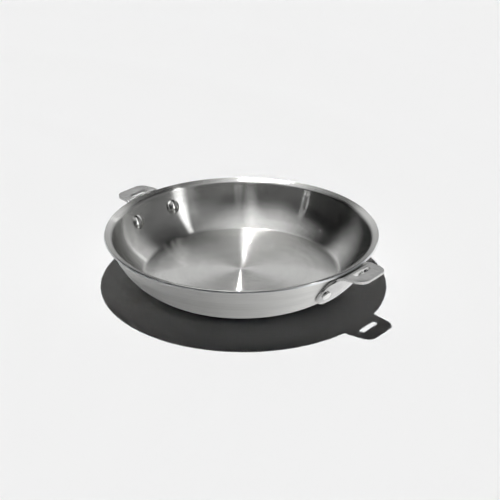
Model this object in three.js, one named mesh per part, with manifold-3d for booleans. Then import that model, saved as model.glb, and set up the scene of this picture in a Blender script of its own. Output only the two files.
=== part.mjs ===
// Frying pan pressed from five-ply clad steel, with two slotted sheet-steel brackets riveted to its wall.
// Millimetres, +Z up. The origin is the middle of the underside, and the brackets lie along the X axis.

import * as THREE from 'three';
import { mergeVertices } from 'three/addons/utils/BufferGeometryUtils.js';
import Module from 'manifold-3d';

const wasm = await Module();
wasm.setup();
const radians = THREE.MathUtils.degToRad;

// Bowl: the rim is measured to its outer edge, the height to its top edge, bends on the outer surface
// The wall is one arc, which rises more steeply from the corner at the base up to the lip
const RIM_RADIUS = 130;
const PAN_HEIGHT = 45.6;
const WALL_TOP_ANGLE = radians(77);
const WALL_FOOT_ANGLE = radians(33);
const CORNER_RADIUS = 12;
const LIP_ANGLE = radians(22);
const LIP_LENGTH = 4.8;
const LIP_BEND_RADIUS = 2;

// Plies of the clad sheet
const OUTER_SKIN = 0.5;
const BOND_PLY = 0.3;
const CORE_PLY = 0.9;
const COOKING_PLY = 0.5;

// Bracket: one blank, an oval plate on the wall with a tapered tab folded out of it under the lip
const BRACKET_SHEET = 2.5;
const PLATE_END_MARGIN = 8;
const PLATE_HEIGHT = 36.6;
const TAB_DROP = 1.4;
const TAB_REACH = 22.8;
const TAB_ROOT_WIDTH = 42.8;
const TAB_TIP_WIDTH = 35.3;
const TAB_CORNER_RADIUS = 8;
const MIN_BEND_RADIUS = 4;
const SLOT_LENGTH = 22;
const SLOT_WIDTH = 6;
const SLOT_EDGE_MARGIN = 12;

// Rivets: the height is where the axis meets the cooking surface
const RIVET_HEIGHT = 27.2;
const RIVET_SPACING = 50;
const SHANK_RADIUS = 3;
const HEAD_RADIUS = 7;
const HEAD_HEIGHT = 3.2;
const TAIL_RADIUS = 4.3;
const TAIL_HEIGHT = 1.6;

// Clearances: between bonded plies, between pieces that rest on each other, round a shank, under the lip
const BOND_GAP = 0.02;
const SEAT_GAP = 0.3;
const HOLE_CLEARANCE = 0.3;
const LIP_CLEARANCE = 0.4;

// Steps of the round surfaces
const BOWL_STEPS = 48;
const CORNER_STEPS = 3;
const WALL_STEPS = 6;
const LIP_STEPS = 2;
const SHEET_STEPS = 120;
const FOLD_STEPS = 5;
const FOLD_HALVINGS = 40;
const OUTLINE_STEPS = 5;
const OVAL_STEPS = 20;
const RIVET_STEPS = 16;
const DOME_STEPS = 4;

// Finishes
const brushedSteel = new THREE.MeshStandardMaterial({ color: 0xb4b4b2, roughness: 0.34, metalness: 1 });
const satinSteel = new THREE.MeshStandardMaterial({ color: 0xa9a9a8, roughness: 0.42, metalness: 1 });
const polishedSteel = new THREE.MeshStandardMaterial({ color: 0xd2d2d0, roughness: 0.1, metalness: 1 });
const rolledAluminium = new THREE.MeshStandardMaterial({ color: 0xc9cacc, roughness: 0.5, metalness: 1 });

// Plies from the outside in
const plies = [
  { name: 'outer_skin', thickness: OUTER_SKIN, finish: brushedSteel },
  { name: 'lower_bond_ply', thickness: BOND_PLY, finish: rolledAluminium },
  { name: 'core_ply', thickness: CORE_PLY, finish: rolledAluminium },
  { name: 'upper_bond_ply', thickness: BOND_PLY, finish: rolledAluminium },
  { name: 'cooking_surface', thickness: COOKING_PLY, finish: brushedSteel },
];
const wallThickness = plies.reduce((sum, ply) => sum + BOND_GAP + ply.thickness, -BOND_GAP);

// Directions in the bowl's section: along a surface that rises at an angle, and out of its outer side
const along = (angle) => new THREE.Vector2(Math.cos(angle), Math.sin(angle));
const outOf = (angle) => new THREE.Vector2(Math.sin(angle), -Math.cos(angle));
const plus = (point, direction, length) => point.clone().addScaledVector(direction, length);

// Points of an arc that turns from one surface angle to another
// A radius below zero is for a bend whose centre lies on the outer side
function arc(centre, radius, fromAngle, toAngle, steps) {
  const points = [];
  for (let i = 0; i <= steps; i += 1) {
    const angle = fromAngle + ((toAngle - fromAngle) * i) / steps;
    points.push(plus(centre, outOf(angle), radius));
  }
  return points;
}

// Section of the outer surface, worked out from the rim down to the base
const rimEdge = new THREE.Vector2(RIM_RADIUS, PAN_HEIGHT - wallThickness * Math.cos(LIP_ANGLE));
const lipBendEnd = plus(rimEdge, along(LIP_ANGLE), -LIP_LENGTH);
const lipBendCentre = plus(lipBendEnd, outOf(LIP_ANGLE), LIP_BEND_RADIUS);
const wallTop = plus(lipBendCentre, outOf(WALL_TOP_ANGLE), -LIP_BEND_RADIUS);
const wallRise = wallTop.y - CORNER_RADIUS * (1 - Math.cos(WALL_FOOT_ANGLE));
const wallRadius = wallRise / (Math.cos(WALL_FOOT_ANGLE) - Math.cos(WALL_TOP_ANGLE));
const wallCentre = plus(wallTop, outOf(WALL_TOP_ANGLE), -wallRadius);
const cornerCentre = plus(wallCentre, outOf(WALL_FOOT_ANGLE), wallRadius - CORNER_RADIUS);

// Line from the axis to the rim, at a depth in the sheet below the outer surface
function sheetLine(depth) {
  const corner = arc(cornerCentre, CORNER_RADIUS - depth, 0, WALL_FOOT_ANGLE, CORNER_STEPS);
  const wall = arc(wallCentre, wallRadius - depth, WALL_FOOT_ANGLE, WALL_TOP_ANGLE, WALL_STEPS);
  const lipBend = arc(lipBendCentre, -LIP_BEND_RADIUS - depth, WALL_TOP_ANGLE, LIP_ANGLE, LIP_STEPS);
  const edge = plus(rimEdge, outOf(LIP_ANGLE), -depth);
  return [new THREE.Vector2(0, depth), ...corner, ...wall.slice(1), ...lipBend.slice(1), edge];
}

// Turned geometry about Z from a section of radius and height
function turned(section, steps) {
  return new THREE.LatheGeometry(section, steps).rotateX(Math.PI / 2);
}

// Solid from a closed geometry: positions only, shared corners merged, triangles of no area dropped
function solid(geometry) {
  geometry.deleteAttribute('normal');
  geometry.deleteAttribute('uv');
  const merged = mergeVertices(geometry);
  const corners = [];
  for (let i = 0; i < merged.index.count; i += 3) {
    const triangle = [0, 1, 2].map((k) => merged.index.getX(i + k));
    if (new Set(triangle).size === 3) corners.push(...triangle);
  }
  const vertProperties = new Float32Array(merged.attributes.position.array);
  const triVerts = new Uint32Array(corners);
  return new wasm.Manifold(new wasm.Mesh({ numProp: 3, vertProperties, triVerts }));
}

// Named piece from a finished solid
function piece(name, body, finish) {
  const { vertProperties, triVerts } = body.getMesh();
  const geometry = new THREE.BufferGeometry();
  geometry.setAttribute('position', new THREE.BufferAttribute(vertProperties, 3));
  geometry.setIndex(new THREE.BufferAttribute(triVerts, 1));
  geometry.computeVertexNormals();
  const mesh = new THREE.Mesh(geometry, finish);
  mesh.name = name;
  return mesh;
}

// Place of a rivet: origin on the cooking surface, local Z out through the wall, square to it
const insideRadius = wallRadius - wallThickness;
const rivetAngle = Math.acos((wallCentre.y - RIVET_HEIGHT) / insideRadius);
const rivetSeat = plus(wallCentre, outOf(rivetAngle), insideRadius);
const rivetTurn = Math.asin(RIVET_SPACING / 2 / rivetSeat.x);
function rivetPlace(turn) {
  const place = new THREE.Matrix4().makeRotationZ(turn);
  place.multiply(new THREE.Matrix4().makeTranslation(rivetSeat.x, 0, rivetSeat.y));
  return place.multiply(new THREE.Matrix4().makeRotationY(Math.PI - rivetAngle));
}

// Hole for a rivet's shank, long enough to run clear of the wall and the plate
const gripLength = wallThickness + SEAT_GAP + BRACKET_SHEET;
function rivetHole(turn) {
  const radius = SHANK_RADIUS + HOLE_CLEARANCE;
  const hole = new THREE.CylinderGeometry(radius, radius, gripLength * 3, RIVET_STEPS).rotateX(Math.PI / 2);
  return solid(hole.translate(0, 0, gripLength / 2).applyMatrix4(rivetPlace(turn)));
}

// Rivet: a domed head inside, a shank, and a flattened tail on the plate
// The head stands off by the hollow of the wall under it
function rivetSolid() {
  const hollow = (HEAD_RADIUS ** 2 / 2) * Math.max(1 / insideRadius, Math.sin(rivetAngle) / rivetSeat.x);
  const headSeat = -hollow - SEAT_GAP;
  const tailSeat = gripLength + SEAT_GAP;
  const sphere = (HEAD_RADIUS ** 2 + HEAD_HEIGHT ** 2) / (2 * HEAD_HEIGHT);
  const sweep = Math.asin(HEAD_RADIUS / sphere);
  const section = [];
  for (let i = 0; i <= DOME_STEPS; i += 1) {
    const angle = (sweep * i) / DOME_STEPS;
    const height = headSeat - HEAD_HEIGHT + sphere * (1 - Math.cos(angle));
    section.push(new THREE.Vector2(sphere * Math.sin(angle), height));
  }
  section.push(new THREE.Vector2(SHANK_RADIUS, headSeat));
  section.push(new THREE.Vector2(SHANK_RADIUS, tailSeat));
  section.push(new THREE.Vector2(TAIL_RADIUS, tailSeat));
  section.push(new THREE.Vector2(TAIL_RADIUS, tailSeat + TAIL_HEIGHT / 2));
  section.push(new THREE.Vector2(TAIL_RADIUS - TAIL_HEIGHT / 2, tailSeat + TAIL_HEIGHT));
  section.push(new THREE.Vector2(0, tailSeat + TAIL_HEIGHT));
  return solid(turned(section, RIVET_STEPS));
}

// Fold between the plate and the tab, from where it leaves the plate at an angle up to the level tab
const tabTop = PAN_HEIGHT - TAB_DROP;
const tabTip = RIM_RADIUS + TAB_REACH;
const plateRadius = wallRadius + SEAT_GAP;
function foldFrom(angle) {
  const start = plus(wallCentre, outOf(angle), plateRadius);
  const radius = (tabTop - start.y) / (1 - Math.cos(angle));
  return { angle, radius, centre: plus(start, outOf(angle), radius) };
}

// The fold is the smallest that a press makes and that passes under the rim's lower edge
function smallestFold() {
  let tooHigh = WALL_TOP_ANGLE;
  let clear = rivetAngle;
  for (let i = 0; i < FOLD_HALVINGS; i += 1) {
    const { angle, radius, centre } = foldFrom((tooHigh + clear) / 2);
    const passes = radius > MIN_BEND_RADIUS && centre.distanceTo(rimEdge) > radius + LIP_CLEARANCE;
    if (passes) clear = angle;
    else tooHigh = angle;
  }
  return foldFrom(clear);
}
const bracketFold = smallestFold();

// Oval plate: centred where the rivets cross the middle of its sheet
const plateMiddle = RIVET_HEIGHT - (gripLength - BRACKET_SHEET / 2) * Math.cos(rivetAngle);

// Line of the bracket's sheet at a depth below its upper face, from under the plate to past the tab
function bracketLine(depth) {
  const { angle, radius, centre } = bracketFold;
  const plate = arc(wallCentre, plateRadius + depth, WALL_FOOT_ANGLE, angle, WALL_STEPS);
  const fold = arc(centre, depth - radius, angle, 0, FOLD_STEPS);
  return [...plate, ...fold.slice(1), new THREE.Vector2(tabTip + BRACKET_SHEET, tabTop - depth)];
}

// Straight prism of a flat outline
function prism(outline, depth, curveSegments) {
  return new THREE.ExtrudeGeometry(outline, { depth, curveSegments, bevelEnabled: false });
}

// Prism of the oval plate, seen along X
function plateBlank() {
  const oval = new THREE.Shape();
  const halfWidth = RIVET_SPACING / 2 + PLATE_END_MARGIN;
  oval.absellipse(0, plateMiddle, halfWidth, PLATE_HEIGHT / 2, 0, Math.PI * 2);
  const seenAlongX = new THREE.Matrix4().makeBasis(
    new THREE.Vector3(0, 1, 0),
    new THREE.Vector3(0, 0, 1),
    new THREE.Vector3(1, 0, 0),
  );
  return solid(prism(oval, RIM_RADIUS, OVAL_STEPS).applyMatrix4(seenAlongX));
}

// Prism of the tapered tab with its slot, seen along Z
function tabBlank() {
  const taper = Math.atan((TAB_ROOT_WIDTH - TAB_TIP_WIDTH) / 2 / TAB_REACH);
  const innerX = rivetSeat.x;
  const innerY = TAB_ROOT_WIDTH / 2 + (RIM_RADIUS - innerX) * Math.tan(taper);
  const cornerX = tabTip - TAB_CORNER_RADIUS;
  const cornerY = TAB_TIP_WIDTH / 2 + TAB_CORNER_RADIUS * (Math.tan(taper) - 1 / Math.cos(taper));
  const cornerSweep = Math.PI / 2 - taper;
  const tab = new THREE.Shape();
  tab.moveTo(innerX, innerY);
  tab.lineTo(innerX, -innerY);
  tab.absarc(cornerX, -cornerY, TAB_CORNER_RADIUS, -cornerSweep, 0);
  tab.absarc(cornerX, cornerY, TAB_CORNER_RADIUS, 0, cornerSweep);
  const slot = new THREE.Path();
  const slotX = tabTip - SLOT_EDGE_MARGIN - SLOT_WIDTH / 2;
  const slotEnd = (SLOT_LENGTH - SLOT_WIDTH) / 2;
  slot.absarc(slotX, slotEnd, SLOT_WIDTH / 2, 0, Math.PI);
  slot.absarc(slotX, -slotEnd, SLOT_WIDTH / 2, Math.PI, Math.PI * 2);
  tab.holes.push(slot);
  return solid(prism(tab, PAN_HEIGHT, OUTLINE_STEPS).translate(0, 0, plateMiddle));
}

// Bracket on the +X side: the folded sheet cut to its blank and punched for two rivets
function bracketSolid() {
  const section = [...bracketLine(0), ...bracketLine(BRACKET_SHEET).reverse()];
  section.push(section[0]);
  const sheet = solid(turned(section.reverse(), SHEET_STEPS));
  const blank = plateBlank().add(tabBlank());
  return sheet.intersect(blank).subtract(rivetHole(rivetTurn)).subtract(rivetHole(-rivetTurn));
}

// One ply of the bowl between two depths, with its rivet holes
function plySolid(outerDepth, innerDepth, rivetTurns) {
  const section = [...sheetLine(outerDepth), ...sheetLine(innerDepth).reverse()];
  const bowl = solid(turned(section, BOWL_STEPS));
  return rivetTurns.reduce((rest, turn) => rest.subtract(rivetHole(turn)), bowl);
}

// Assembly: two bracket stations, each with its rivets, then the plies with a hole for every rivet
const pan = new THREE.Group();
const stations = [
  { side: 'right', turn: 0 },
  { side: 'left', turn: Math.PI },
];
const rivetTurns = [];
for (const { side, turn } of stations) {
  const bracket = piece(`${side}_bracket`, bracketSolid(), satinSteel);
  bracket.rotation.z = turn;
  pan.add(bracket);
  for (const [end, offset] of [['front', -rivetTurn], ['back', rivetTurn]]) {
    const rivet = piece(`${side}_${end}_rivet`, rivetSolid(), polishedSteel);
    rivet.applyMatrix4(rivetPlace(turn + offset));
    rivetTurns.push(turn + offset);
    pan.add(rivet);
  }
}
let depth = 0;
for (const { name, thickness, finish } of plies) {
  pan.add(piece(name, plySolid(depth, depth + thickness, rivetTurns), finish));
  depth += thickness + BOND_GAP;
}

export default pan;
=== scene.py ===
import math

import bmesh
import bpy
from mathutils import Matrix, Vector


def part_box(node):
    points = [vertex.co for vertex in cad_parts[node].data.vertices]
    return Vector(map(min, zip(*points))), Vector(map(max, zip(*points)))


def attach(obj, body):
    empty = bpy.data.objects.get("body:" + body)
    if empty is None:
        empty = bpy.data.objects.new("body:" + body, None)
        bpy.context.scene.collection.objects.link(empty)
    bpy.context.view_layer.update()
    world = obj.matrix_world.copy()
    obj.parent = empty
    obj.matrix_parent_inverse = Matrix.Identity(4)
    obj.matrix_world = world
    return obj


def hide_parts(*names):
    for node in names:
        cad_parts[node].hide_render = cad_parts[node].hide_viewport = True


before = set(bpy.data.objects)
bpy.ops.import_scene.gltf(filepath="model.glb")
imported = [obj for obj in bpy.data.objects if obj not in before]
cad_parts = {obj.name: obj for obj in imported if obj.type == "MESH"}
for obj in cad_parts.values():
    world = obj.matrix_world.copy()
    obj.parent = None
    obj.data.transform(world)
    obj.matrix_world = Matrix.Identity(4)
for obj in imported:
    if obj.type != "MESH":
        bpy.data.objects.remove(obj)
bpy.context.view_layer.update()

# Outer skin: the magnetic stainless ply that stands on the hob, pressed in one disc with the plies on it.
# Its wall is brushed round the pan, and the trimmed edge of its flared lip is eased.
# All plies share one section, which is worked out from the rim down to the base, in metres.

RIM_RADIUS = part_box("outer_skin")[1].x
PAN_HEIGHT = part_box("cooking_surface")[1].z
WALL_TOP_ANGLE = math.radians(77)
WALL_FOOT_ANGLE = math.radians(33)
CORNER_RADIUS = 0.012
LIP_ANGLE = math.radians(22)
LIP_LENGTH = 0.0048
LIP_BEND_RADIUS = 0.002
PLY_GAP = 0.00002
PLIES = {
    "outer_skin": 0.0005,
    "lower_bond_ply": 0.0003,
    "core_ply": 0.0009,
    "upper_bond_ply": 0.0003,
    "cooking_surface": 0.0005,
}
SHEET = sum(PLIES.values()) + PLY_GAP * (len(PLIES) - 1)
EDGE_EASING = 0.00035
EDGE_STEPS = 5
CORNER_STEPS = 10
WALL_STEPS = 24
BEND_STEPS = 10
FACE_LENGTH = 0.0035
TURN_STEPS = 240
MERGE_DISTANCE = 0.000002
SMOOTH_ANGLE = math.radians(35)


def along(angle):
    return Vector((math.cos(angle), 0, math.sin(angle)))


def out_of(angle):
    return Vector((math.sin(angle), 0, -math.cos(angle)))


rim_edge = Vector((RIM_RADIUS, 0, PAN_HEIGHT - SHEET * math.cos(LIP_ANGLE)))
lip_bend_centre = rim_edge - along(LIP_ANGLE) * LIP_LENGTH + out_of(LIP_ANGLE) * LIP_BEND_RADIUS
wall_top = lip_bend_centre - out_of(WALL_TOP_ANGLE) * LIP_BEND_RADIUS
wall_rise = wall_top.z - CORNER_RADIUS * (1 - math.cos(WALL_FOOT_ANGLE))
wall_radius = wall_rise / (math.cos(WALL_FOOT_ANGLE) - math.cos(WALL_TOP_ANGLE))
wall_centre = wall_top - out_of(WALL_TOP_ANGLE) * wall_radius
corner_centre = wall_centre + out_of(WALL_FOOT_ANGLE) * (wall_radius - CORNER_RADIUS)


def straight(start, end):
    """Points after start, up to end, no further apart than a face."""
    count = math.ceil((end - start).length / FACE_LENGTH)
    return [start.lerp(end, (i + 1) / count) for i in range(count)]


def arc(centre, radius, from_angle, to_angle, steps):
    """Points of an arc between two surface angles; below zero, the centre is on the outer side."""
    angles = [from_angle + (to_angle - from_angle) * i / steps for i in range(steps + 1)]
    return [centre + out_of(angle) * radius for angle in angles]


def edge_point(depth):
    """Point of the trimmed lip edge: flat across the plies, eased at both corners."""
    easing = EDGE_EASING * (2 * depth / SHEET - 1) ** 4
    return rim_edge - out_of(LIP_ANGLE) * depth - along(LIP_ANGLE) * easing


def sheet_line(depth):
    """Line from the axis to the lip, at a depth in the sheet under its outer surface."""
    centre = Vector((0, 0, depth))
    corner = arc(corner_centre, CORNER_RADIUS - depth, 0, WALL_FOOT_ANGLE, CORNER_STEPS)
    wall = arc(wall_centre, wall_radius - depth, WALL_FOOT_ANGLE, WALL_TOP_ANGLE, WALL_STEPS)
    bend = arc(lip_bend_centre, -LIP_BEND_RADIUS - depth, WALL_TOP_ANGLE, LIP_ANGLE, BEND_STEPS)
    line = [centre] + straight(centre, corner[0]) + corner[1:] + wall[1:] + bend[1:]
    return line + straight(bend[-1], edge_point(depth))


def ply_section(outer_depth, inner_depth):
    """Closed section of one ply: out along its outer face, round the lip edge and back to the axis."""
    edge = []
    for i in range(1, EDGE_STEPS):
        edge.append(edge_point(outer_depth + (inner_depth - outer_depth) * i / EDGE_STEPS))
    return sheet_line(outer_depth) + edge + sheet_line(inner_depth)[::-1]


def turned(name, section, steps):
    """Draws a section point by point and spins it round the upright axis into a closed solid."""
    bpy.ops.object.select_all(action="DESELECT")
    bpy.ops.mesh.primitive_plane_add(size=FACE_LENGTH)
    bpy.context.object.name = name
    bpy.ops.object.mode_set(mode="EDIT")
    bpy.ops.mesh.select_mode(type="VERT")
    bpy.ops.mesh.select_all(action="SELECT")
    bpy.ops.mesh.merge(type="CENTER")
    bpy.ops.transform.translate(value=section[0])
    for before, after in zip(section, section[1:]):
        bpy.ops.mesh.extrude_vertices_move(TRANSFORM_OT_translate={"value": after - before})
    bpy.ops.mesh.select_all(action="SELECT")
    bpy.ops.mesh.spin(steps=steps, angle=math.tau, center=(0, 0, 0), axis=(0, 0, 1))
    bpy.ops.mesh.select_all(action="SELECT")
    bpy.ops.mesh.remove_doubles(threshold=MERGE_DISTANCE)
    bpy.ops.mesh.normals_make_consistent(inside=False)
    bpy.ops.object.mode_set(mode="OBJECT")
    return bpy.context.object


# Punch for the rivet holes: the press goes through the wall and a bracket's plate at once,
# square to the wall, at two places on each side. It is deleted once the sheets are holed.

RIVET_HEIGHT = 0.0272
RIVET_SPACING = 0.050
HOLE_RADIUS = 0.0033
HOLE_STEPS = 48
PUNCH_LENGTH = 0.020
inside_radius = wall_radius - SHEET
rivet_angle = math.acos((wall_centre.z - RIVET_HEIGHT) / inside_radius)
rivet_seat = wall_centre + out_of(rivet_angle) * inside_radius
rivet_turn = math.asin(RIVET_SPACING / 2 / rivet_seat.x)
rivet_turns = {
    "right_front_rivet": -rivet_turn,
    "right_back_rivet": rivet_turn,
    "left_front_rivet": math.pi - rivet_turn,
    "left_back_rivet": math.pi + rivet_turn,
}


def rivet_place(turn):
    """Place of a rivet: origin on the cooking surface, local Z out through the wall, square to it."""
    lean = Matrix.Rotation(math.pi - rivet_angle, 4, "Y")
    return Matrix.Rotation(turn, 4, "Z") @ Matrix.Translation(rivet_seat) @ lean


def place(piece, matrix):
    """Sets a piece in its place and leaves the place in its mesh."""
    bpy.ops.object.select_all(action="DESELECT")
    bpy.context.view_layer.objects.active = piece
    piece.select_set(True)
    piece.matrix_world = matrix
    bpy.ops.object.transform_apply(location=True, rotation=True, scale=True)


def cut(piece, cutter, operation):
    """Joins, cuts or meets a piece with another solid."""
    bpy.ops.object.select_all(action="DESELECT")
    bpy.context.view_layer.objects.active = piece
    piece.select_set(True)
    boolean = piece.modifiers.new("cut", "BOOLEAN")
    boolean.operation = operation
    boolean.solver = "EXACT"
    boolean.object = cutter
    bpy.ops.object.modifier_apply(modifier=boolean.name)


punches = []
for turn in rivet_turns.values():
    bpy.ops.object.select_all(action="DESELECT")
    bpy.ops.mesh.primitive_cylinder_add(vertices=HOLE_STEPS, radius=HOLE_RADIUS, depth=PUNCH_LENGTH)
    place(bpy.context.object, rivet_place(turn))
    punches.append(bpy.context.object)
bpy.ops.object.select_all(action="DESELECT")
for punch in punches:
    punch.select_set(True)
bpy.context.view_layer.objects.active = punches[0]
bpy.ops.object.join()
rivet_punch = bpy.context.object


def finish_ply(name):
    """Turns one ply of the clad sheet, punches it for the rivets and smooths it."""
    names = list(PLIES)
    below = names[: names.index(name)]
    outer_depth = sum(PLIES[ply] + PLY_GAP for ply in below)
    ply = turned(name + "_sheet", ply_section(outer_depth, outer_depth + PLIES[name]), TURN_STEPS)
    cut(ply, rivet_punch, "DIFFERENCE")
    bpy.ops.object.shade_smooth_by_angle(angle=SMOOTH_ANGLE)
    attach(ply, "root")
    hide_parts(name)
    return ply


def linear(colour):
    """Linear colour from an sRGB hex value."""
    channels = [int(colour[i:i + 2], 16) / 255 for i in (1, 3, 5)]
    return [c / 12.92 if c <= 0.04045 else ((c + 0.055) / 1.055) ** 2.4 for c in channels] + [1]


def add_node(tree, kind, inputs, **settings):
    """Adds a shader node with its settings, and sets or links its inputs."""
    node = tree.nodes.new(kind)
    for name, value in settings.items():
        setattr(node, name, value)
    for socket, value in inputs.items():
        if isinstance(value, bpy.types.NodeSocket):
            tree.links.new(value, node.inputs[socket])
        else:
            node.inputs[socket].default_value = value
    return node


def new_metal(name):
    """Material with a plain metal shader, for a finish to be worked into."""
    material = bpy.data.materials.new(name)
    material.use_nodes = True
    shader = material.node_tree.nodes["Principled BSDF"]
    shader.inputs["Metallic"].default_value = 1
    return material, material.node_tree, shader


# Ring-brushed stainless steel: grit belts turned against the spinning sheet leave fine rings, so each light
# draws out into a ray from the middle of the pan. The real lines are about 0.1 mm apart, too fine to show,
# so they are drawn 0.6 mm apart, over broader bands where the belt bit more or less. A small share of the
# surface has deeper scratches, each kind with its spacing and depth, which draw the rays out further.
BRUSH_LINE = 0.0006
BRUSH_BAND = 0.007
BRUSH_ARC = 1.5
BRUSH_DEPTH = 0.000016
SCRATCH_SHARE = 0.1
SCRATCHES = ((0.0006, 0.000045), (0.00037, 0.000025))
BRUSH_WEAR = {"From Min": 0.6, "From Max": 1.4}
BUMP_FILTER = 0.02


def ring_brushed_steel(name, light, dark, roughness, spread, anisotropy):
    material, tree, shader = new_metal(name)
    here = add_node(tree, "ShaderNodeTexCoord", {}).outputs["Object"]
    flat = add_node(tree, "ShaderNodeVectorMath", {0: here, 1: (1, 1, 0)}, operation="MULTIPLY").outputs[0]
    radius = add_node(tree, "ShaderNodeVectorMath", {0: flat}, operation="LENGTH").outputs["Value"]
    ring = add_node(tree, "ShaderNodeVectorMath", {0: flat}, operation="NORMALIZE").outputs[0]
    height = add_node(tree, "ShaderNodeSeparateXYZ", {0: here}).outputs["Z"]
    run = add_node(tree, "ShaderNodeMath", {0: radius, 1: height}, operation="ADD").outputs[0]
    strokes = []
    for spacing in (BRUSH_LINE, BRUSH_BAND):
        step = add_node(tree, "ShaderNodeMath", {0: run, 1: spacing}, operation="DIVIDE").outputs[0]
        across = add_node(tree, "ShaderNodeCombineXYZ", {"Z": step}).outputs[0]
        stroke = add_node(
            tree,
            "ShaderNodeVectorMath",
            {0: ring, 1: (BRUSH_ARC,) * 3, 2: across},
            operation="MULTIPLY_ADD",
        ).outputs[0]
        noise = add_node(tree, "ShaderNodeTexNoise", {"Vector": stroke, "Scale": 1.0, "Detail": 3.0})
        strokes.append(noise.outputs["Fac"])
    mixed = add_node(tree, "ShaderNodeMath", {0: strokes[0], 1: strokes[1]}, operation="ADD").outputs[0]
    wear = add_node(tree, "ShaderNodeMapRange", {"Value": mixed, **BRUSH_WEAR}).outputs["Result"]
    tone = add_node(
        tree, "ShaderNodeMix", {"Factor": wear, "A": linear(dark), "B": linear(light)}, data_type="RGBA"
    )
    tree.links.new(tone.outputs["Result"], shader.inputs["Base Color"])
    bite = add_node(
        tree,
        "ShaderNodeMapRange",
        {"Value": wear, "To Min": roughness + spread, "To Max": roughness - spread},
    )
    tree.links.new(bite.outputs["Result"], shader.inputs["Roughness"])

    def grooves(spacing):
        """Height of even grooves across the brushing, between minus one and one."""
        turns = add_node(tree, "ShaderNodeMath", {0: run, 1: spacing / math.tau}, operation="DIVIDE")
        return add_node(tree, "ShaderNodeMath", {0: turns.outputs[0]}, operation="SINE").outputs[0]

    lines = add_node(
        tree,
        "ShaderNodeBump",
        {
            "Height": grooves(BRUSH_LINE),
            "Strength": 1.0,
            "Distance": BRUSH_DEPTH,
            "Filter Width": BUMP_FILTER,
        },
    )
    tree.links.new(lines.outputs["Normal"], shader.inputs["Normal"])
    shader.inputs["Anisotropic"].default_value = anisotropy
    tree.links.new(here, shader.inputs["Tangent"])
    heights = []
    for spacing, depth in SCRATCHES:
        scratch = add_node(tree, "ShaderNodeMath", {0: grooves(spacing), 1: depth}, operation="MULTIPLY")
        heights.append(scratch.outputs[0])
    cut_depth = add_node(tree, "ShaderNodeMath", {0: heights[0], 1: heights[1]}, operation="ADD").outputs[0]
    cuts = add_node(
        tree,
        "ShaderNodeBump",
        {"Height": cut_depth, "Strength": 1.0, "Distance": 1.0, "Filter Width": BUMP_FILTER},
    )
    scratched = add_node(
        tree,
        "ShaderNodeBsdfPrincipled",
        {
            "Base Color": tone.outputs["Result"],
            "Metallic": 1,
            "Roughness": roughness,
            "Anisotropic": anisotropy,
            "Tangent": here,
            "Normal": cuts.outputs["Normal"],
        },
    )
    both = add_node(
        tree, "ShaderNodeMixShader", {0: SCRATCH_SHARE, 1: shader.outputs[0], 2: scratched.outputs[0]}
    )
    tree.links.new(both.outputs[0], tree.nodes["Material Output"].inputs["Surface"])
    return material


outer_skin = finish_ply("outer_skin")
outer_skin.data.materials.append(
    ring_brushed_steel(
        "brushed_magnetic_stainless", "#D2D2D0", "#BDBDBB", roughness=0.4, spread=0.04, anisotropy=0.9
    )
)

# Inner plies: an aluminium core between two thin bond plies of purer aluminium, rolled to the steel hot.
# They fill the sheet and show only as fine grey lines on the trimmed edge of the lip.

ROLLING_LINE = 0.0004
ROLLED_ROUGHNESS = {"To Min": 0.26, "To Max": 0.42}


def rolled_aluminium(name, colour):
    """Rolled aluminium, sheared and polished at the lip: soft, paler and bluer than the steel round it."""
    material, tree, shader = new_metal(name)
    here = add_node(tree, "ShaderNodeTexCoord", {}).outputs["Object"]
    grain = add_node(tree, "ShaderNodeTexNoise", {"Vector": here, "Scale": 1 / ROLLING_LINE, "Detail": 2.0})
    tone = add_node(
        tree,
        "ShaderNodeMix",
        {"Factor": grain.outputs["Fac"], "A": linear(colour), "B": linear("#E4E6E8")},
        data_type="RGBA",
    )
    tree.links.new(tone.outputs["Result"], shader.inputs["Base Color"])
    bite = add_node(tree, "ShaderNodeMapRange", {"Value": grain.outputs["Fac"], **ROLLED_ROUGHNESS})
    tree.links.new(bite.outputs["Result"], shader.inputs["Roughness"])
    return material


for name, colour in (("lower_bond_ply", "#D4D6D8"), ("core_ply", "#C6C9CC"), ("upper_bond_ply", "#D4D6D8")):
    inner_ply = finish_ply(name)
    inner_ply.data.materials.append(rolled_aluminium("rolled_aluminium_" + name, colour))

# Cooking surface: the 18/10 stainless ply that food meets, with no coating.
# It is brushed in rings on the same spindle, finer than the outside, down the wall and over the whole base.

cooking_surface = finish_ply("cooking_surface")
cooking_surface.data.materials.append(
    ring_brushed_steel(
        "brushed_cooking_stainless", "#D6D6D4", "#CACAC8", roughness=0.125, spread=0.01, anisotropy=1.0
    )
)

# Brackets: one blank of 2.5 mm stainless sheet each, an oval plate with a slotted tab for a clip-on handle.
# The blank is punched, tumbled until its edges are round, and folded out under the lip; two rivets hold it.
# It is modelled in the flat, X along the fold line's crossing and Z up, and then folded.

BRACKET_SHEET = 0.0025
SEAT_GAP = 0.0003
PLATE_HALF_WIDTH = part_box("right_bracket")[1].y
PLATE_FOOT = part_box("right_bracket")[0].z
TAB_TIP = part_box("right_bracket")[1].x
TAB_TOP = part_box("right_bracket")[1].z
TAB_ROOT_WIDTH = 0.0428
TAB_TIP_WIDTH = 0.0353
TAB_CORNER_RADIUS = 0.008
TAB_NECK_RADIUS = 0.003
SLOT_LENGTH = 0.022
SLOT_WIDTH = 0.006
SLOT_EDGE_MARGIN = 0.012
LIP_CLEARANCE = 0.0004
TUMBLED_EDGE = 0.0004
EDGE_SEGMENTS = 3
SHARP_ANGLE = math.radians(60)
CORNER_SEGMENTS = 12
NECK_SEGMENTS = 8
NECK_ANGLE = math.radians(-15)
FLAT_ANGLE = math.radians(0.5)
UPRIGHT_TOLERANCE = 0.00002
OVAL_STEPS = 128
FOLD_STEPS = 12
PLATE_STRIP = 0.004
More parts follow.
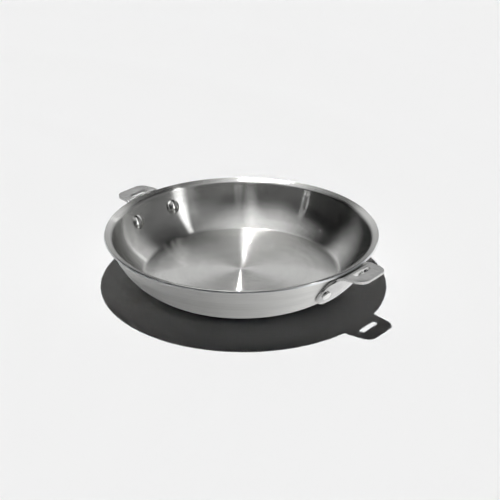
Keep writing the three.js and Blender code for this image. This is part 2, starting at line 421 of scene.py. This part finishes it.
CUTTER_MARGIN = 0.002
SLOT_ROUNDING = 0.999
TUMBLED_GRAIN = 0.0007
TUMBLED_CLOUD = 0.012
TUMBLED_WEAR = {"From Min": 0.7, "From Max": 1.3}
TUMBLED_ROUGHNESS = {"To Min": 0.29, "To Max": 0.23}
PIT_STRENGTH = 0.25
PIT_DEPTH = 0.0002

# Fold: the smallest bend that leaves the plate for the level tab and passes under the rim's lower edge
plate_radius = wall_radius + SEAT_GAP
FOLD_HALVINGS = 40


def fold_from(angle):
    start = wall_centre + out_of(angle) * plate_radius
    radius = (TAB_TOP - start.z) / (1 - math.cos(angle))
    return radius, start + out_of(angle) * radius


too_high = WALL_TOP_ANGLE
fold_angle = rivet_angle
for halving in range(FOLD_HALVINGS):
    between = (too_high + fold_angle) / 2
    bend_radius, fold_centre = fold_from(between)
    if (fold_centre - rim_edge).length > bend_radius + LIP_CLEARANCE:
        fold_angle = between
    else:
        too_high = between
bend_radius, fold_centre = fold_from(fold_angle)
fold_length = bend_radius * fold_angle

# Places on the flat blank, measured from the start of the fold
plate_x = (rivet_angle - fold_angle) * plate_radius
foot_angle = math.acos((wall_centre.z - PLATE_FOOT) / (plate_radius + BRACKET_SHEET))
plate_half_length = (rivet_angle - foot_angle) * plate_radius
tip_x = fold_length + TAB_TIP - fold_centre.x
rim_x = tip_x - (TAB_TIP - RIM_RADIUS)
slot_x = tip_x - SLOT_EDGE_MARGIN - SLOT_WIDTH / 2


def flat_block(length, width, middle_x, depth, corner_radius):
    """Block of the sheet with its upright corners rounded."""
    bpy.ops.object.select_all(action="DESELECT")
    bpy.ops.mesh.primitive_cube_add(
        size=1, location=(middle_x, 0, -BRACKET_SHEET / 2), scale=(length, width, depth)
    )
    bpy.ops.object.transform_apply(location=True, rotation=True, scale=True)
    block = bpy.context.object
    bpy.ops.object.mode_set(mode="EDIT")
    bpy.ops.mesh.select_mode(type="EDGE")
    bpy.ops.mesh.select_all(action="DESELECT")
    shell = bmesh.from_edit_mesh(block.data)
    for edge in shell.edges:
        low, high = (vert.co for vert in edge.verts)
        edge.select = (low - high).to_2d().length < UPRIGHT_TOLERANCE
    bmesh.update_edit_mesh(block.data)
    bpy.ops.mesh.bevel(offset=corner_radius, segments=CORNER_SEGMENTS, profile=0.5)
    bpy.ops.object.mode_set(mode="OBJECT")
    return block


def tapered_tab():
    """Tab of the blank: from the middle of the plate to the tip, narrowing outwards."""
    middle_x = (tip_x + plate_x) / 2
    tab = flat_block(tip_x - plate_x, TAB_TIP_WIDTH, middle_x, BRACKET_SHEET, TAB_CORNER_RADIUS)
    taper = (TAB_ROOT_WIDTH - TAB_TIP_WIDTH) / 2 / (tip_x - rim_x)
    for vert in tab.data.vertices:
        vert.co.y += math.copysign(taper * (tip_x - vert.co.x), vert.co.y)
    return tab


def flat_blank():
    """Oval plate and tab as one flat sheet, with the slot and the rivet holes punched."""
    bpy.ops.object.select_all(action="DESELECT")
    bpy.ops.mesh.primitive_cylinder_add(
        vertices=OVAL_STEPS, radius=1, depth=1, location=(plate_x, 0, -BRACKET_SHEET / 2),
        scale=(plate_half_length, PLATE_HALF_WIDTH, BRACKET_SHEET),
    )
    bpy.ops.object.transform_apply(location=True, rotation=True, scale=True)
    blank = bpy.context.object
    slot_depth = BRACKET_SHEET + CUTTER_MARGIN
    slot_round = SLOT_WIDTH / 2 * SLOT_ROUNDING
    cutters = [(tapered_tab(), "UNION")]
    cutters.append((flat_block(SLOT_WIDTH, SLOT_LENGTH, slot_x, slot_depth, slot_round), "DIFFERENCE"))
    for side in (-1, 1):
        bpy.ops.object.select_all(action="DESELECT")
        bpy.ops.mesh.primitive_cylinder_add(
            vertices=HOLE_STEPS, radius=HOLE_RADIUS, depth=slot_depth,
            location=(plate_x, side * RIVET_SPACING / 2, -BRACKET_SHEET / 2),
        )
        bpy.ops.object.transform_apply(location=True, rotation=True, scale=True)
        cutters.append((bpy.context.object, "DIFFERENCE"))
    for cutter, operation in cutters:
        cut(blank, cutter, operation)
        bpy.data.objects.remove(cutter)
    return blank


def round_edges(blank):
    """Rounds the two inner corners at the tab's neck, then every edge of both faces, as tumbling does."""
    bpy.ops.object.mode_set(mode="EDIT")
    bpy.ops.mesh.select_mode(type="EDGE")
    bpy.ops.mesh.select_all(action="SELECT")
    bpy.ops.mesh.remove_doubles(threshold=MERGE_DISTANCE)
    bpy.ops.mesh.dissolve_limited(angle_limit=FLAT_ANGLE)
    bpy.ops.mesh.select_all(action="DESELECT")
    shell = bmesh.from_edit_mesh(blank.data)
    for edge in shell.edges:
        low, high = (vert.co for vert in edge.verts)
        upright = (low - high).to_2d().length < UPRIGHT_TOLERANCE
        edge.select = upright and edge.calc_face_angle_signed(0) < NECK_ANGLE
    bmesh.update_edit_mesh(blank.data)
    bpy.ops.mesh.bevel(offset=TAB_NECK_RADIUS, segments=NECK_SEGMENTS, profile=0.5)
    bpy.ops.object.mode_set(mode="OBJECT")
    rounding = blank.modifiers.new("tumbled_edge", "BEVEL")
    rounding.width = TUMBLED_EDGE
    rounding.segments = EDGE_SEGMENTS
    rounding.limit_method = "ANGLE"
    rounding.angle_limit = SHARP_ANGLE
    bpy.ops.object.modifier_apply(modifier=rounding.name)


def fold(blank):
    """Cuts the flat faces into strips and bends them: the plate to the wall, the tab out level."""
    bpy.ops.object.mode_set(mode="EDIT")
    strips = [((fold_length * i / FOLD_STEPS, 0, 0), (1, 0, 0)) for i in range(FOLD_STEPS + 1)]
    count = math.ceil((plate_half_length - plate_x) / PLATE_STRIP)
    strips += [((-PLATE_STRIP * i, 0, 0), (1, 0, 0)) for i in range(1, count)]
    count = int(PLATE_HALF_WIDTH / PLATE_STRIP)
    strips += [((0, PLATE_STRIP * i, 0), (0, 1, 0)) for i in range(-count, count + 1)]
    for point, normal in strips:
        bpy.ops.mesh.select_all(action="SELECT")
        bpy.ops.mesh.bisect(plane_co=point, plane_no=normal)
    bpy.ops.object.mode_set(mode="OBJECT")
    for vert in blank.data.vertices:
        x, y, depth = vert.co.x, vert.co.y, -vert.co.z
        bent = min(max(x / fold_length, 0), 1)
        if x < 0:
            point = wall_centre + out_of(fold_angle + x / plate_radius) * (plate_radius + depth)
        else:
            point = fold_centre + out_of(fold_angle * (1 - bent)) * (depth - bend_radius)
            point.x += max(x - fold_length, 0)
        roundness = (1 - bent) * (point.x - math.sqrt(point.x ** 2 - y ** 2))
        vert.co = (point.x - roundness, y, point.z)


def satin_steel(name):
    """Tumbled stainless steel: stones leave an even, matt, grainy grey with no direction."""
    material, tree, shader = new_metal(name)
    here = add_node(tree, "ShaderNodeTexCoord", {}).outputs["Object"]
    grain = add_node(tree, "ShaderNodeTexNoise", {"Vector": here, "Scale": 1 / TUMBLED_GRAIN, "Detail": 4.0})
    cloud = add_node(tree, "ShaderNodeTexNoise", {"Vector": here, "Scale": 1 / TUMBLED_CLOUD, "Detail": 2.0})
    mixed = add_node(
        tree, "ShaderNodeMath", {0: grain.outputs["Fac"], 1: cloud.outputs["Fac"]}, operation="ADD"
    ).outputs[0]
    wear = add_node(tree, "ShaderNodeMapRange", {"Value": mixed, **TUMBLED_WEAR}).outputs["Result"]
    tone = add_node(
        tree,
        "ShaderNodeMix",
        {"Factor": wear, "A": linear("#A6A6A5"), "B": linear("#BEBEBD")},
        data_type="RGBA",
    )
    tree.links.new(tone.outputs["Result"], shader.inputs["Base Color"])
    bite = add_node(tree, "ShaderNodeMapRange", {"Value": wear, **TUMBLED_ROUGHNESS})
    tree.links.new(bite.outputs["Result"], shader.inputs["Roughness"])
    pits = add_node(
        tree,
        "ShaderNodeBump",
        {"Height": grain.outputs["Fac"], "Strength": PIT_STRENGTH, "Distance": PIT_DEPTH},
    )
    tree.links.new(pits.outputs["Normal"], shader.inputs["Normal"])
    return material


right_bracket = flat_blank()
right_bracket.name = "right_bracket_sheet"
round_edges(right_bracket)
fold(right_bracket)
bpy.ops.object.shade_smooth_by_angle(angle=SMOOTH_ANGLE)
right_bracket.data.materials.append(satin_steel("tumbled_stainless"))
bpy.ops.object.select_all(action="DESELECT")
right_bracket.select_set(True)
bpy.ops.object.duplicate()
left_bracket = bpy.context.object
left_bracket.name = "left_bracket_sheet"
place(left_bracket, Matrix.Rotation(math.pi, 4, "Z"))
for bracket, node in ((right_bracket, "right_bracket"), (left_bracket, "left_bracket")):
    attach(bracket, "root")
    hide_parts(node)

# Rivets: turned stainless rivets driven from inside the pan, two to a bracket.
# The domed head is polished like a mirror, and the tail is pressed flat on the bracket's plate.

SHANK_RADIUS = 0.003
HEAD_RADIUS = 0.007
HEAD_HEIGHT = 0.0032
HEAD_RIM = 0.0006
TAIL_RADIUS = 0.0043
TAIL_HEIGHT = 0.0016
TAIL_ROUND = 0.0007
DOME_STEPS = 14
ROUND_STEPS = 5
RIVET_STEPS = 64
MOP_HAZE = 0.0015
POLISHED_ROUGHNESS = {"To Min": 0.04, "To Max": 0.14}


def rivet_section():
    """Section of a rivet from the crown of its head to its tail, local Z out through the wall."""
    grip_length = SHEET + SEAT_GAP + BRACKET_SHEET
    tail_end = grip_length + SEAT_GAP + TAIL_HEIGHT
    hollow = HEAD_RADIUS ** 2 / 2 / inside_radius
    crown = -hollow - HEAD_HEIGHT - SEAT_GAP
    dome_height = HEAD_HEIGHT - HEAD_RIM
    sphere = (HEAD_RADIUS ** 2 + dome_height ** 2) / (2 * dome_height)
    sweep = math.asin(HEAD_RADIUS / sphere)
    section = []
    for i in range(DOME_STEPS + 1):
        angle = sweep * i / DOME_STEPS
        section.append(Vector((sphere * math.sin(angle), 0, crown + sphere * (1 - math.cos(angle)))))
    section.append(Vector((HEAD_RADIUS, 0, -hollow)))
    section.append(Vector((SHANK_RADIUS, 0, -hollow)))
    section.append(Vector((SHANK_RADIUS, 0, grip_length)))
    section.append(Vector((TAIL_RADIUS, 0, grip_length)))
    for i in range(ROUND_STEPS + 1):
        angle = math.pi / 2 * i / ROUND_STEPS
        radius = TAIL_RADIUS - TAIL_ROUND * (1 - math.cos(angle))
        section.append(Vector((radius, 0, tail_end - TAIL_ROUND * (1 - math.sin(angle)))))
    section.append(Vector((0, 0, tail_end)))
    return section


def polished_steel(name):
    """Buffed stainless steel: a clear mirror with a few faint hairlines from the mop."""
    material, tree, shader = new_metal(name)
    here = add_node(tree, "ShaderNodeTexCoord", {}).outputs["Object"]
    haze = add_node(tree, "ShaderNodeTexNoise", {"Vector": here, "Scale": 1 / MOP_HAZE, "Detail": 3.0})
    bite = add_node(tree, "ShaderNodeMapRange", {"Value": haze.outputs["Fac"], **POLISHED_ROUGHNESS})
    tree.links.new(bite.outputs["Result"], shader.inputs["Roughness"])
    tone = add_node(
        tree,
        "ShaderNodeMix",
        {"Factor": haze.outputs["Fac"], "A": linear("#D0D0CE"), "B": linear("#DEDEDC")},
        data_type="RGBA",
    )
    tree.links.new(tone.outputs["Result"], shader.inputs["Base Color"])
    return material


mirror_finish = polished_steel("polished_stainless")
for node, turn in rivet_turns.items():
    rivet = turned(node + "_turned", rivet_section(), RIVET_STEPS)
    bpy.ops.object.shade_smooth_by_angle(angle=SMOOTH_ANGLE)
    place(rivet, rivet_place(turn))
    rivet.data.materials.append(mirror_finish)
    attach(rivet, "root")
    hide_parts(node)
bpy.data.objects.remove(rivet_punch)

# Camera: the long lens of a catalogue photograph, in front of the pan, with the right bracket turned to it.
# The frame is 500 pixels square, and the pan stands a little left of its middle and below it.

FRAME_PIXELS = 500
SENSOR = 36
FOCAL_PIXELS = 1097.8
ORIGIN_PIXEL = (241.67, 270.92)
VIEW_TURN = math.radians(40.3)
VIEW_RISE = math.radians(26.64)
VIEW_DISTANCE = 1.06


def staged(side, back, up):
    """Point given from where the photographer stands: to the right, away and up, in metres."""
    return Matrix.Rotation(VIEW_TURN, 3, "Z") @ Vector((side, back, up))


bpy.ops.object.camera_add(
    location=staged(0, -VIEW_DISTANCE * math.cos(VIEW_RISE), VIEW_DISTANCE * math.sin(VIEW_RISE))
)
camera = bpy.context.object
camera.rotation_euler = (math.pi / 2 - VIEW_RISE, 0, VIEW_TURN)
camera.data.sensor_width = SENSOR
camera.data.lens = FOCAL_PIXELS * SENSOR / FRAME_PIXELS
camera.data.shift_x = 0.5 - ORIGIN_PIXEL[0] / FRAME_PIXELS
camera.data.shift_y = ORIGIN_PIXEL[1] / FRAME_PIXELS - 0.5
bpy.context.scene.camera = camera

# Studio: a wide pale floor, a hard lamp high behind the pan, a pale backdrop beyond it, a bright ceiling
# over it and a dark room in front. Two faint soft boxes and five strips of light draw rays on the metal.

FLOOR_SIZE = 40
FLOOR_COLOUR = "#F0F0F0"
# Painted light: how strongly the floor glows in the metal, at the pan's left and at its right
FLOOR_GLOW_IN_METAL = (0.6, 1.6)
FLOOR_SHARE = (0.3, 1.0)
KEY_PLACE = (-0.043, 0.436, 1.136)
KEY_SIZE = 0.008
KEY_POWER = 39
GRAZING_LIMIT = 0.1
BULB_PLACE = (-0.022, 0.814, 0.975)
BULB_POWER = 5
BACKDROP_TOP = 0.62
BACKDROP_EDGE = 0.08
BACKDROP_LEVEL = 0.82
BACKGROUND_LEVEL = 0.87
OVERHEAD_LEVEL = 1.6
OVERHEAD_SIDE = -0.15
OVERHEAD_WIDTH = 0.47
ROOM_LEVEL = 0.045
SIDE_LEVEL = 0.22
DIFFUSE_SHARE = 0.3
BOX_DISTANCE = 1.6


def unscattered(tree):
    """One until the light has been scattered by the matt floor."""
    scatterings = add_node(tree, "ShaderNodeLightPath", {}).outputs["Diffuse Depth"]
    return add_node(tree, "ShaderNodeMath", {0: scatterings, 1: 0.5}, operation="LESS_THAN").outputs[0]


def mirrored(tree):
    """One for a ray that comes straight from polished or brushed metal, which shows the studio round it."""
    glossy = add_node(tree, "ShaderNodeLightPath", {}).outputs["Is Glossy Ray"]
    both = add_node(tree, "ShaderNodeMath", {0: glossy, 1: unscattered(tree)}, operation="MULTIPLY")
    return both.outputs[0]


def show_in_metal_only(lamp):
    """Keeps a lamp off the floor, both straight and by way of the pan."""
    lamp.visible_diffuse = False
    lamp.data.use_nodes = True
    tree = lamp.data.node_tree
    tree.links.new(unscattered(tree), tree.nodes["Emission"].inputs["Strength"])


bpy.ops.mesh.primitive_plane_add(size=FLOOR_SIZE)
floor = bpy.context.object
floor.name = "studio_floor"
paper = bpy.data.materials.new("pale_paper_floor")
paper.use_nodes = True
sheet = paper.node_tree
matt = sheet.nodes["Principled BSDF"]
matt.inputs["Base Color"].default_value = linear(FLOOR_COLOUR)
matt.inputs["Roughness"].default_value = 1
matt.inputs["Specular IOR Level"].default_value = 0
floor_point = add_node(sheet, "ShaderNodeTexCoord", {}).outputs["Object"]
across = add_node(
    sheet, "ShaderNodeVectorMath", {0: floor_point, 1: staged(1, 0, 0)}, operation="DOT_PRODUCT"
).outputs["Value"]


def ramp_across(left, right):
    """Value that changes evenly over the pan's width, from its left to its right."""
    limits = {"From Min": -RIM_RADIUS, "From Max": RIM_RADIUS, "To Min": left, "To Max": right}
    return add_node(sheet, "ShaderNodeMapRange", {"Value": across, **limits}).outputs["Result"]


# Painted light: for rays straight from the metal, the floor also glows, from 0.6 of white at the pan's left
# to 1.6 at its right. This is a painted pool of light that the pan mirrors, brightest on its right. On the
# left, the metal shows more of the matt floor with the pan's shadow.
floor_glow_settings = {"Color": linear(FLOOR_COLOUR), "Strength": ramp_across(*FLOOR_GLOW_IN_METAL)}
share = add_node(
    sheet, "ShaderNodeMath", {0: mirrored(sheet), 1: ramp_across(*FLOOR_SHARE)}, operation="MULTIPLY"
).outputs[0]
painted_floor_glow = add_node(sheet, "ShaderNodeEmission", floor_glow_settings).outputs[0]
either = add_node(sheet, "ShaderNodeMixShader", {0: share, 1: matt.outputs[0], 2: painted_floor_glow}).outputs[0]
sheet.links.new(either, sheet.nodes["Material Output"].inputs["Surface"])
floor.data.materials.append(paper)

# The key lamp's reflector is shaped to light the whole floor evenly, near and far
bpy.ops.object.light_add(type="POINT", location=staged(*KEY_PLACE))
key = bpy.context.object
key.data.shadow_soft_size = KEY_SIZE
key.data.energy = KEY_POWER
key.data.use_nodes = True
reflector = key.data.node_tree
beam = add_node(reflector, "ShaderNodeNewGeometry", {}).outputs["Normal"]
fall = add_node(reflector, "ShaderNodeSeparateXYZ", {0: beam}).outputs["Z"]
slope = add_node(reflector, "ShaderNodeMath", {0: fall}, operation="ABSOLUTE").outputs[0]
slope = add_node(reflector, "ShaderNodeMath", {0: slope, 1: GRAZING_LIMIT}, operation="MAXIMUM").outputs[0]
even = add_node(reflector, "ShaderNodeLightFalloff", {"Strength": 1.0}).outputs["Constant"]
beam_level = add_node(reflector, "ShaderNodeMath", {0: even, 1: slope}, operation="DIVIDE").outputs[0]
reflector.links.new(beam_level, reflector.nodes["Emission"].inputs["Strength"])
key.visible_glossy = False

# A small bulb further back shows in the metal in place of the key lamp, and draws the long ray over the base
bpy.ops.object.light_add(type="POINT", location=staged(*BULB_PLACE))
bulb = bpy.context.object
bulb.data.shadow_soft_size = KEY_SIZE
bulb.data.energy = BULB_POWER
show_in_metal_only(bulb)

# Soft boxes, each with its turn from the right, its rise, its width and height, and its power
for turn, lift, width, height, power in (
    (math.radians(-36), math.radians(24), 0.35, 0.5, 0.25),
    (math.radians(-155), math.radians(20), 0.05, 0.3, 0.25),
):
    reach = BOX_DISTANCE * math.cos(lift)
    box_place = staged(reach * math.cos(turn), reach * math.sin(turn), BOX_DISTANCE * math.sin(lift))
    facing_pan = box_place.to_track_quat("Z", "Y").to_euler()
    bpy.ops.object.light_add(type="AREA", location=box_place, rotation=facing_pan)
    box = bpy.context.object
    box.data.shape = "RECTANGLE"
    box.data.size = width
    box.data.size_y = height
    box.data.energy = power
    show_in_metal_only(box)

# Room: how bright it is in each direction. The metal mirrors all of it, and the floor gets a share of
# the backdrop's light.
world = bpy.data.worlds.new("studio_room")
bpy.context.scene.world = world
world.use_nodes = True
room = world.node_tree
gaze = add_node(room, "ShaderNodeTexCoord", {}).outputs["Generated"]
rise = add_node(room, "ShaderNodeSeparateXYZ", {0: gaze}).outputs["Z"]


def soft_step(value, low, high, before, after):
    """Value that eases from before to after as another goes from low to high."""
    return add_node(
        room,
        "ShaderNodeMapRange",
        {"Value": value, "From Min": low, "From Max": high, "To Min": before, "To Max": after},
        interpolation_type="SMOOTHSTEP",
    ).outputs["Result"]


def towards(direction):
    """How far the ray goes in a direction, from minus one to one."""
    part = add_node(room, "ShaderNodeVectorMath", {0: gaze, 1: direction}, operation="DOT_PRODUCT")
    return part.outputs["Value"]


# Backdrop: behind the pan, darker near the floor, with a soft top edge
low_edge = BACKDROP_TOP - BACKDROP_EDGE
high_edge = BACKDROP_TOP + BACKDROP_EDGE
below_top = soft_step(rise, low_edge, high_edge, before=BACKDROP_LEVEL, after=0)
paler_up = soft_step(rise, low=0.2, high=0.5, before=0.55, after=1)
below_top = add_node(room, "ShaderNodeMath", {0: below_top, 1: paler_up}, operation="MULTIPLY").outputs[0]
behind = soft_step(towards(staged(0, 1, 0)), low=0.38, high=0.8, before=0, after=1)
backdrop = add_node(room, "ShaderNodeMath", {0: below_top, 1: behind}, operation="MULTIPLY").outputs[0]
dim = add_node(
    room, "ShaderNodeMapRange", {"Value": mirrored(room), "To Min": DIFFUSE_SHARE, "To Max": 1}
).outputs["Result"]
backdrop = add_node(room, "ShaderNodeMath", {0: backdrop, 1: dim}, operation="MULTIPLY").outputs[0]

# Walls: nearly dark in front, and a little lighter on the right
front = soft_step(towards(staged(0.3, -0.95, 0)), low=0, high=0.5, before=0, after=ROOM_LEVEL)
beside = soft_step(towards(staged(1, 0, 0)), low=0.4, high=0.95, before=0, after=SIDE_LEVEL)
front = add_node(room, "ShaderNodeMath", {0: front, 1: beside}, operation="ADD").outputs[0]
front = add_node(room, "ShaderNodeMath", {0: front, 1: mirrored(room)}, operation="MULTIPLY").outputs[0]
walls = add_node(room, "ShaderNodeMath", {0: backdrop, 1: front}, operation="ADD").outputs[0]

# Ceiling: brightest a little left of the pan's middle
aside = add_node(
    room, "ShaderNodeMath", {0: towards(staged(1, 0, 0)), 1: OVERHEAD_SIDE}, operation="SUBTRACT"
).outputs[0]
aside = add_node(room, "ShaderNodeMath", {0: aside, 1: OVERHEAD_WIDTH}, operation="DIVIDE").outputs[0]
square = add_node(room, "ShaderNodeMath", {0: aside, 1: aside}, operation="MULTIPLY").outputs[0]
ceiling = soft_step(square, low=0, high=1, before=OVERHEAD_LEVEL, after=0)
from_front = soft_step(towards(staged(0, 1, 0)), low=-0.62, high=0, before=0, after=1)
to_back = soft_step(towards(staged(0, 1, 0)), low=0.2, high=0.65, before=1, after=0)
above = soft_step(rise, low=0, high=0.5, before=0, after=1)
for part in (from_front, to_back, above, mirrored(room)):
    ceiling = add_node(room, "ShaderNodeMath", {0: ceiling, 1: part}, operation="MULTIPLY").outputs[0]
studio = add_node(room, "ShaderNodeMath", {0: walls, 1: ceiling}, operation="ADD").outputs[0]


def strip_light(stands, facing, offset, half_width, narrowing, level, low, high, start, end):
    """Strip of light on one side of the room: bright near one plane, and fading between two heights."""
    gap = add_node(room, "ShaderNodeMath", {0: towards(facing), 1: offset}, operation="SUBTRACT").outputs[0]
    away = add_node(room, "ShaderNodeMath", {0: gap}, operation="ABSOLUTE").outputs[0]
    reach = soft_step(rise, low=0, high=1, before=half_width, after=half_width * narrowing)
    away = add_node(room, "ShaderNodeMath", {0: away, 1: reach}, operation="DIVIDE").outputs[0]
    light = soft_step(away, low=0.5, high=1.5, before=level, after=0)
    fading = soft_step(rise, low, high, start, end)
    on_side = soft_step(towards(stands), low=-0.35, high=-0.05, before=0, after=1)
    for part in (fading, on_side, mirrored(room)):
        light = add_node(room, "ShaderNodeMath", {0: light, 1: part}, operation="MULTIPLY").outputs[0]
    return light


# Strips: a bright one on the right in front, which narrows upwards; one left of the middle, brighter
# higher up; a thin one right of the middle; a broad faint one high on the right; a slanting one on the right
in_front = staged(0, -1, 0)
sideways = staged(1, 0, 0)
strips = (
    strip_light(
        in_front, staged(0.845, 0.534, 0), offset=0.45, half_width=0.09, narrowing=0.25,
        level=2.6, low=0.75, high=0.97, start=1, end=0,
    ),
    strip_light(
        in_front, sideways, offset=-0.12, half_width=0.06, narrowing=1,
        level=0.7, low=0.15, high=0.95, start=0, end=1,
    ),
    strip_light(
        in_front, sideways, offset=0.055, half_width=0.025, narrowing=1,
        level=0.6, low=0.3, high=0.7, start=1, end=0,
    ),
    strip_light(
        in_front, sideways, offset=0.42, half_width=0.16, narrowing=1,
        level=0.45, low=0.6, high=0.9, start=0, end=1,
    ),
    strip_light(
        staged(0.8, -0.6, 0), staged(0.419, -0.551, 0.722), offset=0.03, half_width=0.03, narrowing=1,
        level=1.0, low=0.45, high=0.6, start=1, end=0,
    ),
)
for strip in strips:
    studio = add_node(room, "ShaderNodeMath", {0: studio, 1: strip}, operation="ADD").outputs[0]
seen = add_node(room, "ShaderNodeLightPath", {}).outputs["Is Camera Ray"]
shown = add_node(
    room, "ShaderNodeMix", {"Factor": seen, "A": studio, "B": BACKGROUND_LEVEL}, data_type="FLOAT"
).outputs["Result"]
room.links.new(shown, room.nodes["Background"].inputs["Strength"])
room.nodes["Background"].inputs["Color"].default_value = linear("#FFFFFF")

bpy.context.scene.view_settings.view_transform = "Standard"
